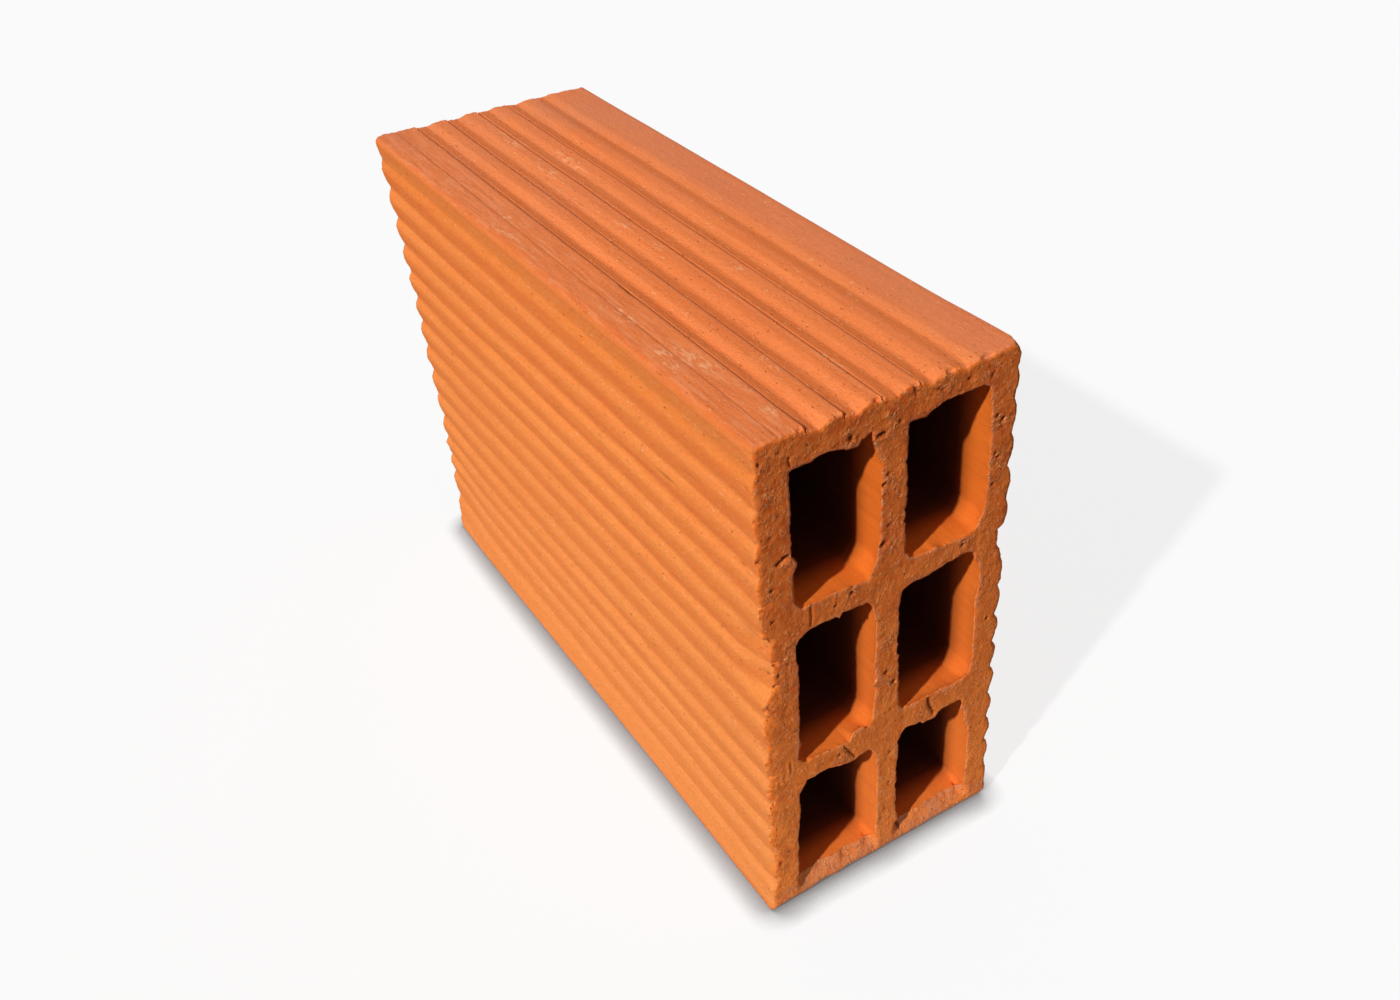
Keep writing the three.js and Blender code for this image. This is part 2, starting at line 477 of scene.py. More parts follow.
# The bottom lip of the near end, worn back towards the cell floors and round at the toe
LIP_HEIGHT = 10.0
LIP_RANGE = (3.0, LIP_HEIGHT, LIP_HEIGHT + 0.5, LIP_HEIGHT + 4)
LIP_SETBACK = 3.3
LIP_REACH = 11.0
TOE_HEIGHT = 4.5
TOE_SETBACK = 2.5

# Swirl that a stone under the wire left in the left wall: across and down of its middle, and reach
SWIRL_MIDDLE = np.array((6.7, 130.5))
SWIRL_REACH = np.array((3.5, 10.5))
SWIRL_RINGS = 2.2
SWIRL_LEAN = 0.06
SWIRL_STEP = 0.45
SWIRL_HEIGHT = 0.35

# Scuffs on the upper bed, where the clay rubbed off pale: deep, across, and reach each way
SCUFFS = (
    (13, 15.5, 5, 3), (30, 17, 5, 2.5), (41, 14, 6, 4), (49, 7, 6, 5), (53, 12.5, 9, 3.5),
    (60, 7, 6, 3.5), (112, 15, 4, 2), (36, 29, 5, 2.5), (90, 55, 3.5, 2.5), (146, 41, 7, 2),
    (165, 5, 14, 2), (205, 41, 14, 2), (245, 43, 12, 3), (210, 52, 16, 2.5), (178, 11, 10, 2),
    (24, 45, 5, 2), (122, 42, 5, 2), (88, 9, 12, 3),
)

# Holes in the skin of the upper bed and of the left face: deep, then across or down, and radius
BED_HOLES = ((65, 44.2, 0.9), (111, 45.2, 0.9), (73, 91.5, 0.8), (34, 30.2, 0.6), (100, 18.3, 0.6))
FACE_HOLES = (
    (33, 14.2, 0.6), (36.5, 16.0, 0.6), (40.6, 15.0, 0.8), (45, 15.4, 0.6), (49, 10.8, 0.6),
    (36, 26.8, 0.5), (31, 41.4, 0.7), (18, 42.2, 0.6), (8.6, 44.4, 0.7), (52, 35.4, 0.5),
    (32, 56.6, 0.5), (65, 74.4, 0.5), (24, 176.4, 0.7), (22, 172.6, 0.5), (18, 190.0, 0.8),
    (8, 86.2, 0.5), (2.6, 85.6, 0.7), (113, 109, 0.5),
)

# How much longer than wide such a hole is, and how deep, as a share of its radius
HOLE_STRETCH = 1.6
HOLE_DEPTH = 0.7

# How far in along the length the skin and the cells follow the cut ends
PUSH_REACH = 3.0

# How deep in the cells the painted shade starts, and is full
CELL_SHADE_PAINTED_FROM = (6.5, 18.5)

# How far in from the rims the cut ends follow them. A point follows a stretch of the rim that grows
# by FOLLOW_BLUR with its distance from it, as if that began FOLLOW_START further out.
FOLLOW_REACH = 8.0
FOLLOW_BLUR = 0.5
FOLLOW_START = 0.3

# How far down the right arris of the upper bed is worn, how far from it the wear reaches, and how
# deep in the wear starts and is full
WORN_ARRIS = 0.65
WORN_ARRIS_REACH = 8.0
WORN_ARRIS_FROM = (5, 45)

# The round of the arrises, and how far, and over what length, the left one of the foot is sharper
ARRIS = 3.0
SHARP_FOOT = 0.9
SHARP_FOOT_LENGTH = 55.0

# How far the long faces have drawn in at mid-height, in drying, at the near and at the far end
LEFT_BOW = (0.1, 2.3)
RIGHT_BOW = (0.5, 1.0)

# How far in the heel of the left face lies at the far end, over what length, and where down the face,
# as two pairs that it fades between
HEEL_INSET = 1.7
HEEL_LENGTH = 30.0
HEEL_RANGE = (90, 180, 190, 199)


def random_pits(count, smallest, largest, seed):
    """Pits scattered over an end, most of them small."""
    draw = np.random.default_rng(seed)
    across = draw.uniform(0, THICKNESS, count)
    down = draw.uniform(0, HEIGHT, count)
    radius = smallest + (largest - smallest) * draw.random(count) ** 3
    return np.stack([across, down, radius], axis=1)


NEAR_PITS, FAR_PITS = (random_pits(*pits) for pits in RANDOM_PITS)
NEAR_PITS = np.concatenate([np.array(PITS), NEAR_PITS])


def fine_places(pits, with_cracks):
    """Extra places on a cut end, so that its pits, cracks and swirl have points of their own."""
    places = []
    for across, down, radius in pits:
        places.append([(across, down)])
        for share, count in PIT_CIRCLES:
            turns = np.arange(count) * 2 * math.pi / count
            around = np.stack([np.cos(turns), np.sin(turns)], axis=1)
            places.append(np.array((across, down)) + radius * share * around)
    if with_cracks:
        for line, _ in CRACKS:
            middle = along_line(line, CRACK_HALF_WIDTH)
            for side in (0, CRACK_HALF_WIDTH, -CRACK_HALF_WIDTH):
                places.append(middle + (side, side / 4))
        span = np.arange(-1, 1, SWIRL_STEP / SWIRL_REACH[1])
        grid = np.array(list(itertools.product(span, span))) * SWIRL_REACH[1]
        places.append(SWIRL_MIDDLE + grid[np.abs(grid[:, 0]) < SWIRL_REACH[0]])
    return to_section(np.concatenate(places))


def thinned(places, kept, gap):
    """The places that lie at least `gap` from those already kept and from each other."""
    taken = {}
    for y, z in kept:
        taken.setdefault((int(y // gap), int(z // gap)), []).append((y, z))
    chosen = []
    for y, z in places:
        column, row = int(y // gap), int(z // gap)
        near = (taken.get((column + i, row + j), ()) for i in (-1, 0, 1) for j in (-1, 0, 1))
        if all((y - a) ** 2 + (z - b) ** 2 >= gap * gap for a, b in itertools.chain(*near)):
            taken.setdefault((column, row), []).append((y, z))
            chosen.append((y, z))
    return np.array(chosen)


# ---------------------------------------------------------------------------- the surface

SKIN, CELL, CUT = range(3)

# The flat layout of the surface, as places and scales: the skin, the cells in a row above it, and the
# two ends above those
SKIN_LAYOUT = ((0, 0), 1)
CELL_LAYOUT = ((100, 295), 0.5)
NEAR_LAYOUT = ((0, 450), 1.5)
FAR_LAYOUT = ((160, 450), 1.5)


class Surface:
    """The brick's surface as it is put together: points first, then faces between them."""

    def __init__(self):
        self.points = []
        self.faces = []
        self.finish = []
        self.layout = []
        self.count = 0

    def add_points(self, places, outward_of, kind, end, score):
        """Adds points, a row for each, and returns their numbers."""
        numbers = np.arange(self.count, self.count + len(places))
        self.count += len(places)
        same = np.full((len(places), 2), (kind, end))
        self.points.append(np.column_stack([places, outward_of, same, score]))
        return numbers

    def add_face(self, numbers, finish, flat):
        """Adds a face with its finish, and its corners' places in the flat layout."""
        self.faces.append([int(n) for n in numbers])
        self.finish.append(finish)
        self.layout.extend(flat)

    def add_tube(self, loop, kind, rings, corner, scale, score):
        """Draws a loop along the length, with every second point left out away from the ends.
        Returns the numbers of its points at the two ends."""
        out = outward(loop)
        steps = np.hypot(*(np.roll(loop, -1, axis=0) - loop).T)
        walked = np.append(0, np.cumsum(steps))
        drawn = []
        for x in rings:
            end = int(np.sign(x)) * (abs(x) == HALF_LENGTH)
            skip = 1 if HALF_LENGTH - abs(x) < FINE_REACH else 2
            pick = slice(0, None, skip)
            places = np.column_stack([np.full(len(loop), x), loop])[pick]
            numbers = self.add_points(places, out[pick], kind, end, score[pick])
            across = corner[0] + walked[pick] * scale
            flat = np.column_stack([across, np.full(len(across), corner[1] + (HALF_LENGTH - x) * scale)])
            drawn.append((np.append(numbers, numbers[0]), flat))
        for (here, here_flat), (there, there_flat) in zip(drawn, drawn[1:]):
            count = min(len(here), len(there)) - 1
            stride, other = (len(here) - 1) // count, (len(there) - 1) // count
            for j in range(count):
                back = slice(j * stride + stride, j * stride, -1)
                forth = slice(j * other, j * other + other + 1)
                numbers = [here[j * stride], *there[forth], *here[back]]
                self.add_face(numbers, kind, [here_flat[j * stride], *there_flat[forth], *here_flat[back]])
        return drawn[0][0][:-1], drawn[-1][0][:-1]

    def add_end(self, loops, numbers, end, step, extra, corner, scale, seed):
        """Closes an end with triangles between the loops, which have points already."""
        rim = np.concatenate(loops)
        rim_numbers = np.concatenate(numbers)
        row = np.concatenate([loop - outward(loop) * ROW_INSET for loop in loops])
        row = thinned(row, rim, ROW_GAP)
        extra = thinned(extra, np.concatenate([rim, row]), LEAST_GAP)
        draw = np.random.default_rng(seed)
        across = np.arange(-HALF_THICKNESS, HALF_THICKNESS, step)
        up = np.arange(0, HEIGHT, step * NET_ROW)
        net = np.array(list(itertools.product(across, up)))
        net[:, 0] += np.round(net[:, 1] / (step * NET_ROW)) % 2 * step / 2
        net += draw.uniform(-NET_STRAY, NET_STRAY, net.shape) * step
        net = thinned(net, np.concatenate([rim, row, extra]), step * NET_GAP)
        inner = np.concatenate([row, extra, net])
        inner = inner[inside(inner, loops) & (distance_to(inner, rim) > RIM_GAP)]
        places = np.concatenate([rim, inner])
        edges = []
        start = 0
        for loop in loops:
            edges += [(start + i, start + (i + 1) % len(loop)) for i in range(len(loop))]
            start += len(loop)
        flat = [Vector(place) for place in places]
        _, _, triangles, origin, _, _ = delaunay_2d_cdt(flat, edges, [], 0, 1e-6)
        origin = np.array([which[0] for which in origin])
        triangles = origin[np.array(triangles)]
        triangles = triangles[inside(places[triangles].mean(axis=1), loops)]
        x = np.full(len(inner), end * HALF_LENGTH)
        new = self.add_points(np.column_stack([x, inner]), np.zeros((len(inner), 2)), CUT, end,
                              np.zeros(len(inner)))
        number = np.concatenate([rim_numbers, new])
        layout = np.array(corner) + (places + (HALF_THICKNESS, 0)) * scale
        for triangle in triangles:
            turn = triangle[::end]
            self.add_face(number[turn], CUT, layout[turn])


def draw_surface():
    """The plain surface of the brick, fine enough to be shaped."""
    outer, *cells = section_loops(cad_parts[NODE])
    outer, score = evened(*scored(eased(divided(outer, SKIN_STEP))))
    cells = [eased(divided(cell, CELL_STEP)) for cell in cells]
    cells = [evened(cell, np.zeros(len(cell))) for cell in cells]
    surface = Surface()
    ends = [surface.add_tube(outer, SKIN, stations(LONGEST_RING), *SKIN_LAYOUT, score)]
    (right, up), scale = CELL_LAYOUT
    for i, (cell, plain) in enumerate(cells):
        ends.append(surface.add_tube(cell, CELL, stations(LONGEST_CELL_RING), (right * i, up), scale, plain))
    near, far = zip(*ends)
    surface.loops = [outer, *(cell for cell, _ in cells)]
    surface.add_end(surface.loops, near, 1, NEAR_CUT_STEP, fine_places(NEAR_PITS, True), *NEAR_LAYOUT, 21)
    surface.add_end(surface.loops, far, -1, FAR_CUT_STEP, fine_places(FAR_PITS, False), *FAR_LAYOUT, 22)
    return surface


# ---------------------------------------------------------------------------- shaping

class Clay:
    """The points of the surface while they are shaped. `at` is where each one is, and `start` where
    it began. What is asked of a place, such as how deep in it lies, is asked of where it began."""

    def __init__(self, surface):
        points = np.concatenate(surface.points)
        self.start = points[:, :3]
        self.at = self.start.copy()
        self.out = points[:, 3:5]
        kind, self.end, self.score = points[:, 5:].T
        self.skin, self.cell, self.cut = (kind == which for which in (SKIN, CELL, CUT))
        x, y, z = self.start.T
        self.across = y + HALF_THICKNESS
        self.down = HEIGHT - z
        self.deep = HALF_LENGTH - x
        self.far_deep = HALF_LENGTH + x
        self.end_deep = np.minimum(self.deep, self.far_deep)
        self.near = x > 0
        self.left = self.across < HALF_THICKNESS
        self.upper = self.down < HEIGHT / 2
        self.measure_from_rims(surface.loops)
        self.sort_skin()

    def measure_from_rims(self, loops):
        """How far each point of the cut ends lies from the skin and from the cells."""
        section = self.start[self.cut, 1:]
        self.from_skin = np.where(self.skin, 0, 99.0)
        self.from_cell = np.where(self.cell, 0, 99.0)
        self.from_skin[self.cut] = distance_to(section, loops[0])
        self.from_cell[self.cut] = distance_to(section, np.concatenate(loops[1:]))
        spans = [(cell[:, 0].min(), cell[:, 0].max()) for cell in loops[1:]]
        self.columns = np.unique(np.round(spans, 1), axis=0) + HALF_THICKNESS

    def sort_skin(self):
        """Which points lie on the beds and which on the long faces, with how deep each lies in the flutes
        and grooves, and the marks that follow from that. Among them, "deep" paints shade on the flanks of
        the long faces that face down, and "pale" paints a highlight on those that face up."""
        sides = np.minimum(self.across, THICKNESS - self.across)
        beds = np.minimum(self.down, HEIGHT - self.down)
        self.dip = np.where(self.skin, np.minimum(sides, beds), 0)
        self.hollow = self.dip / self.dip.max()
        self.on_bed = self.skin * rise(sides - beds, -1.2, 1.2)
        self.on_side = self.skin * (1 - self.on_bed)
        on_top = self.on_bed * self.upper
        # The "score" mark is painted shade in the scores of the upper bed
        self.marks = {"bed": self.on_bed, "score": np.clip(self.score * 2.2, 0, 1),
                      "deep": self.on_side * rise(-self.out[:, 1], 0, 0.2),
                      "pale": self.on_side * rise(self.out[:, 1], 0.05, 0.35),
                      "land": on_top * (1 - rise(self.across, 14, 18)),
                      "plain": on_top * rise(self.across, 74, 84),
                      "edge": self.skin * (1 - rise(np.maximum(sides, beds), 1.5, 4.5))}

    def noise(self, grain, seed):
        return soft_noise(self.start, grain, seed)

    def layers(self, table):
        """The sum of layers of noise, each as how much of it, its grain and its seed."""
        return sum(amount * self.noise(grain, seed) for amount, grain, seed in table)

    def gap(self, across, down):
        """How far each point lies from a place on the ends."""
        return np.hypot(self.across - across, self.down - down)

    def mark(self, name, value):
        """Leaves a mark on the points for the materials, where it isn't marked as much already."""
        self.marks[name] = np.maximum(self.marks.get(name, 0), np.clip(value, 0, 1))

    def push(self, amount):
        """Pushes the cut ends in along the length, and the skin and the cells near them with them."""
        share = np.where(self.cut, 1, np.exp(-self.end_deep / PUSH_REACH))
        self.at[:, 0] -= amount * share * np.sign(self.start[:, 0])

    def sink(self, amount):
        """Sinks the skin and the cells into the clay, square to themselves."""
        self.at[:, 1:] -= self.out * amount[:, None]


def drift_flutes(clay):
    """Flutes that wander, and that sag on the left face towards the far end."""
    near_bed = np.clip(np.minimum(clay.down, HEIGHT - clay.down) / STEADY_REACH, 0, 1)
    down, near, far = np.array(FLUTE_DROPS).T
    share = clay.deep / DROP_LENGTH
    drop = (1 - share) * np.interp(clay.down, down, near) + share * np.interp(clay.down, down, far)
    clay.at[:, 2] += clay.on_side * (clay.layers(FLUTE_WANDER) * near_bed - drop * clay.left)


def draw_flutes(clay):
    """Flutes with round crests and sharp valleys, filled more in some places than in others."""
    sharp = (1 - np.sqrt(1 - clay.hollow) - clay.hollow) * clay.dip.max()
    filled = np.interp(clay.down, *np.array(FLUTE_FILL).T)
    filled *= 1 - np.exp(-clay.deep / CLEAR_REACH) * rise(clay.down, *CLEAR_FROM)
    filled = np.where(clay.left, filled, RIGHT_FILL) + clay.layers(FILL_DRIFT)
    filled += RIM_FILL * np.exp(-clay.deep / RIM_FILL_REACH) * (1 - rise(clay.down, *RIM_FILL_UNTIL))
    filled += FAR_FILL * (1 - rise(clay.far_deep, *FAR_FILL_REACH))
    clay.sink(clay.on_side * (VALLEY_SHARPNESS * sharp - clay.dip * filled))


def ripple_skin(clay):
    """Fine lines where the clay dragged in the die and on the cores, and the scores of the bed."""
    skin = SKIN_ALLOWANCE + clay.layers(SKIN_RIPPLE) + clay.score * (1 + clay.layers(SCORE_DRIFT))
    cell = CELL_ALLOWANCE + clay.layers(CELL_RIPPLE)
    clay.sink(skin * clay.skin + cell * clay.cell)


def groove_beds(clay):
    """Grooves of the beds: a sharp drop, a floor that leans down from it and a ramp. The drops and floors
    are marked for painted shade, and the ramps, which face the key light, for a painted highlight."""
    across = clay.across + clay.layers(GROOVE_WANDER)
    depth = np.zeros(len(clay.at))
    flat = clay.on_bed * (clay.skin & (clay.across > GROOVES[0][0] - 1))
    for start, dropped, floor_end, ramp_end, ledge, deepest in GROOVES:
        drop = np.interp(clay.across, (start, dropped), (0, deepest))
        floor = np.interp(across, (start, floor_end, ramp_end), (ledge, deepest, 0))
        depth = np.maximum(depth, np.minimum(drop, floor))
        low = np.interp(across, (start, dropped, floor_end - 0.8, floor_end), (0, 1, 1, 0))
        ramp = np.interp(across, (floor_end - 0.4, floor_end + 0.6, ramp_end - 0.6, ramp_end), (0, 1, 1, 0))
        clay.mark("deep", low * flat)
        clay.mark("pale", ramp * flat)
    at_rim = RIM_DEEPENING * np.exp(-clay.deep / RIM_REACH)
    depth *= GROOVES_LEFT + clay.layers(GROOVE_DEPTH_DRIFT) + at_rim
    clay.at[:, 2] -= (depth - clay.dip) * flat * np.where(clay.upper, 1, -1)
    drift = GROOVE_DRIFT * clay.deep / LENGTH + 0.25 * clay.noise((45, 400, 400), 36)
    clay.at[:, 1] += drift * np.interp(clay.across, DRIFTING, (0, 1, 1, 0)) * clay.on_bed


def land_flute(clay):
    """A weak flute that the die left in the upper land of the long faces."""
    clay.sink(LAND_FLUTE_DEPTH * np.interp(clay.down, LAND_FLUTE, (0, 1, 0)) * clay.on_side)


def wear_arris(clay):
    """The right arris of the upper bed, worn down along most of its length."""
    worn = WORN_ARRIS * np.exp(-(clay.gap(THICKNESS, 0) / WORN_ARRIS_REACH) ** 2)
    worn *= rise(clay.deep, *WORN_ARRIS_FROM) * (0.95 + 0.25 * clay.noise((35, 30, 30), 37))
    clay.at[:, 1] -= worn / 2
    clay.at[:, 2] -= worn


def sharpen_foot(clay):
    """The left arris of the lower bed, left nearly sharp at the near end."""
    outward_by = ARRIS - np.stack([clay.across, HEIGHT - clay.down])
    on_arris = (outward_by > 0).all(axis=0) & clay.skin
    spread = ARRIS / np.maximum(outward_by.max(axis=0), ARRIS / 2) - 1
    share = SHARP_FOOT * np.exp(-(clay.deep / SHARP_FOOT_LENGTH) ** 2) * on_arris * spread
    clay.at[:, 1:] -= (share * outward_by).T


def follow_rims(clay):
    """The cut ends, stretched to where their rims have moved."""
    for end in (1, -1):
        rim = np.flatnonzero(clay.skin & (clay.end == end))
        cut = np.flatnonzero(clay.cut & (clay.end == end) & (clay.from_skin < FOLLOW_REACH))
        moves = (clay.at - clay.start)[rim, 1:]
        for block in np.array_split(cut, len(cut) // BLOCK + 1):
            gaps = clay.start[block, None, 1:] - clay.start[None, rim, 1:]
            gaps = (gaps ** 2).sum(axis=2)
            from_skin = clay.from_skin[block, None]
            blur = FOLLOW_BLUR * (FOLLOW_START + from_skin)
            weights = np.exp((gaps.min(axis=1, keepdims=True) - gaps) / (2 * blur ** 2))
            weights *= (1 - from_skin / FOLLOW_REACH) / weights.sum(axis=1, keepdims=True)
            clay.at[block, 1:] += weights @ moves


def hole_skin(clay):
    """Small holes in the skin, where grit was torn out in the die, with painted shade inside them."""
    for holes, along, face in ((BED_HOLES, clay.across, clay.on_bed * clay.upper),
                               (FACE_HOLES, clay.down, clay.on_side * clay.left)):
        for deep, place, radius in holes:
            gap = np.hypot((clay.deep - deep) / HOLE_STRETCH, along - place) / radius
            hole = np.clip(1.15 - gap ** 2, 0, 1) * face
            clay.sink(HOLE_DEPTH * radius * hole)
            # The "hole" mark is painted shade inside the hole
            clay.mark("hole", hole)


def scuff_bed(clay):
    """Patches of the upper bed that were rubbed pale."""
    for deep, across, reach_deep, reach_across in SCUFFS:
        gap = np.hypot((clay.deep - deep) / reach_deep, (clay.across - across) / reach_across)
        clay.mark("scuff", (1 - rise(gap, 0.3, 1.2)) * clay.on_bed * clay.upper)


def crumble_cut(clay):
    """Crumbly patches of the cut ends, at their own places on the near one."""
    rough = np.zeros(len(clay.at))
    for across, down, reach in CRUMBLED:
        rough = np.maximum(rough, 1 - rise(clay.gap(across, down) / reach, 0.35, 1))
    rough *= clay.near * rise(clay.noise((4, 4, 4), 11), -0.7, 0.2)
    rough = np.maximum(rough, ~clay.near * rise(clay.noise((9, 9, 9), 12), 0.1, 0.5))
    clay.mark("rough", rough)
    clay.push((0.03 + 0.3 * rough) * clay.noise(1.25, 18))


def tear_cut(clay):
    """Wire-cut ends: torn grain over the whole cut, and rounded rims."""
    clay.push(CUT_RECESS + clay.layers(CUT_RIPPLE))
    rim = 1.0 + clay.layers(((0.5, (9, 4, 4), 13), (0.4, 1.8, 14)))
    cell_rim = 0.6 + 0.35 * clay.noise(3.5, 15)
    clay.push(0.45 * fall_away(clay.from_skin, rim) + 0.3 * fall_away(clay.from_cell, cell_rim))
    clay.sink(0.4 * fall_away(clay.end_deep, rim) * clay.skin
              - 0.3 * fall_away(clay.end_deep, cell_rim) * clay.cell)
    pale = rise(clay.noise((4, 1.5, 1.5), 35), -0.5, 0.3)
    clay.mark("arris", np.exp(-(clay.from_cell / 0.6) ** 2) * pale * clay.cut)


def ragged_edges(clay):
    """The edges of the cut ends, serrated by the wire where it came out of the clay."""
    near_end = np.exp(-clay.end_deep)
    cell_edge = np.where(clay.cell | clay.cut, np.exp(-clay.from_cell / 0.9), 0) * near_end
    skin_edge = np.where(clay.skin | clay.cut, np.exp(-clay.from_skin / 1.4), 0) * near_end
    torn = within(clay.down, *TORN_RIM) * (clay.near & clay.left)
    amount = 0.42 * cell_edge + (0.3 + 0.9 * torn) * skin_edge
    for axis, seed in ((1, 19), (2, 21)):
        clay.at[:, axis] += amount * clay.layers(((0.7, 2.6, seed), (0.9, 1.1, seed + 1)))
    band = torn * np.clip(1.4 - clay.from_skin / 2.2 + 0.7 * clay.noise((9, 2, 1.6), 34), 0, 1)
    clay.push(TORN_SETBACK * band)


def dig_pits(clay):
    """Pits in the ends, each with a lip thrown up below it, and painted shade inside."""
    amount = np.zeros(len(clay.at))
    dark = np.zeros(len(clay.at))
    for end, pits in ((1, NEAR_PITS), (-1, FAR_PITS)):
        mine = np.flatnonzero((clay.end == end) & clay.cut)
        for across, down, radius in pits:
            near = mine[np.abs(clay.down[mine] - down) < 2 * radius]
            side, below = clay.across[near] - across, clay.down[near] - down
            bowl = np.clip(1.1 - (side ** 2 + below ** 2) / radius ** 2, 0, 1) ** 0.7
            lip = np.exp(-(side ** 2 + (below - 1.2 * radius) ** 2) / (0.45 * radius) ** 2)
            amount[near] += 1.1 * radius * bowl - 0.25 * radius * lip
            dark[near] = np.maximum(dark[near], bowl * min(1, 0.3 + radius))
    clay.mark("recess_painted_shade", dark)
    clay.push(amount)


def open_cracks(clay):
    """Cracks in the near end, with painted shade in them."""
    mine = np.flatnonzero((clay.deep < 2 * PUSH_REACH) & ~clay.skin)
    places = np.stack([clay.across, clay.down], axis=1)[mine]
    for line, depth in CRACKS:
        gap = distance_to(places, along_line(line, CRACK_STEP))
        opened = np.zeros(len(clay.at))
        opened[mine] = np.clip(1.1 - gap / CRACK_HALF_WIDTH, 0, 1)
        clay.push(depth * opened)
        clay.mark("recess_painted_shade", opened * (clay.end == 1))


def stir_swirl(clay):
    """Long loops, like a thumbprint, in the left wall, with painted shade in their troughs."""
    across = clay.across - SWIRL_MIDDLE[0] + SWIRL_LEAN * (clay.down - SWIRL_MIDDLE[1])
    turn = np.stack([across, clay.down - SWIRL_MIDDLE[1]], axis=1) / SWIRL_REACH
    radius = np.hypot(*turn.T) + clay.layers(((0.22, (9, 3, 7), 23), (0.08, 1.8, 24)))
    waves = -np.cos(radius * SWIRL_RINGS * 2 * math.pi) * (1 - rise(radius, 0.75, 1.05))
    waves *= np.clip(0.5 + clay.noise((9, 3.5, 5), 25), 0, 1) * (clay.near & clay.cut)
    clay.push(SWIRL_HEIGHT * waves)
    clay.mark("swirl", -waves)
    clay.mark("recess_painted_shade", 0.3 * waves)


def raise_lips(clay):
    """Lips of clay that the wire threw up on the near end."""
    for across, down, reach, height in LIPS:
        clay.push(-height * np.exp(-(clay.gap(across, down) / reach) ** 2) * clay.near)


def wear_lip(clay):
    """The bottom of the near end, worn back at the cell floors and round at the toe."""
    height = HEIGHT - clay.down
    ragged = 1 + clay.layers(((0.25, (6, 5, 3), 26), (0.12, 1.5, 27)))
    near = np.clip(1 - clay.deep / LIP_REACH, 0, 1) ** 2
    under = sum(within(clay.across, left - 2, left + 2, right - 2, right + 2)
                for left, right in clay.columns)
    toe = np.clip(1 - height / TOE_HEIGHT, 0, 1) ** 1.5
    clay.at[:, 0] -= (LIP_SETBACK * within(height, *LIP_RANGE) * under + TOE_SETBACK * toe) * ragged * near
    worn = np.maximum(under, 0.5) * (1 - rise(height, LIP_HEIGHT - 1, LIP_HEIGHT + 3)) * (clay.deep < 5)
    worn = np.maximum(worn, toe * (clay.deep < 4)) * (0.75 + 0.6 * clay.noise(2.6, 28))
    clay.mark("wear", worn)
    clay.mark("rough", 0.6 * worn)


def drag_edges(clay):
    """Cell edges moved by the wire at the near end."""
    fade = np.exp(-clay.deep / DRAG_DEPTH) * (clay.cell | clay.cut)
    sides = ((UPRIGHT_EDGES, clay.across, clay.down, 1, 1), (LEVEL_EDGES, clay.down, clay.across, 2, -1))
    for edges, toward, along, axis, way in sides:
        for line, places in edges:
            spots_along, runs_at = np.array(places, float).T
            spots_along = np.concatenate([spots_along[:1] - 1.5, spots_along, spots_along[-1:] + 1.5])
            moves = np.concatenate([[0], runs_at - line, [0]])
            share = np.exp(-((toward - line) / EDGE_REACH) ** 2) * fade
            clay.at[:, axis] += way * share * np.interp(along, spots_along, moves)
    for across, down, reach, move_across, move_down in CORNER_DRAGS:
        share = np.exp(-(clay.gap(across, down) / reach) ** 2) * fade
        clay.at[:, 1] += share * move_across
        clay.at[:, 2] -= share * move_down


def dent_sides(clay):
    """Dents in the long faces at the near end, with the flutes flattened in them."""
    for side, started, ended, reach_deep, reach_across, depth in DENTS:
        share = within(clay.down, *started, *ended) * np.exp(-(clay.deep / reach_deep) ** 2)
        from_side = HALF_THICKNESS - side * clay.start[:, 1]
        clay.at[:, 1] -= side * share * depth * np.exp(-(from_side / reach_across) ** 2)
        clay.sink(-0.6 * share * clay.dip * clay.on_side)


def rim_crumbs(clay):
    """Chips the size of crumbs, scattered round the rims of the ends."""
    count, smallest, largest, seed = RIM_CRUMBS
    draw = np.random.default_rng(seed)
    rim = clay.start[clay.skin & (clay.end == 1)][:, 1:]
    crumbs = []
    for _ in range(count):
        y, z = rim[draw.integers(len(rim))]
        radius = smallest + (largest - smallest) * draw.random() ** 2
        beyond = 1 + draw.uniform(0.1, 0.5) * radius * np.array((y / HALF_THICKNESS, z / HEIGHT - 0.5)) / 50
        place = (-0.35 * radius, y * beyond[0] + HALF_THICKNESS, HEIGHT - z * beyond[1])
        crumbs.append((place, (radius, radius, radius)))
    return tuple(crumbs)


def knock_chips(clay):
    """Chips, each scooped out by a lumpy ball, with fresh clay showing."""
    crumbs = rim_crumbs(clay)
    bumpy = 1 + 0.12 * clay.noise(2.2, 29)
    for end, deep, chips in ((1, clay.deep, NEAR_CHIPS + crumbs[::2]),
                             (-1, clay.far_deep, FAR_CHIPS + crumbs[1::2])):
        ground = np.stack([deep, clay.across, clay.down], axis=1)
        for middle, size in chips:
            near = np.flatnonzero(np.abs(ground[:, 0] - middle[0]) < size[0] * 1.2)
            arm = (ground[near] - middle) / size
            reach = np.sqrt((arm ** 2).sum(axis=1))
            grow = np.where(reach < bumpy[near], bumpy[near] / np.maximum(reach, 0.25) - 1, 0)
            move = arm * size * grow[:, None]
            clay.at[near] += move * (-end, 1, -1)
            fresh = np.zeros(len(clay.at))
            fresh[near] = np.sqrt((move ** 2).sum(axis=1)) / 1.2
            clay.mark("wear", fresh * (min(size) > CRUMB_SIZE))


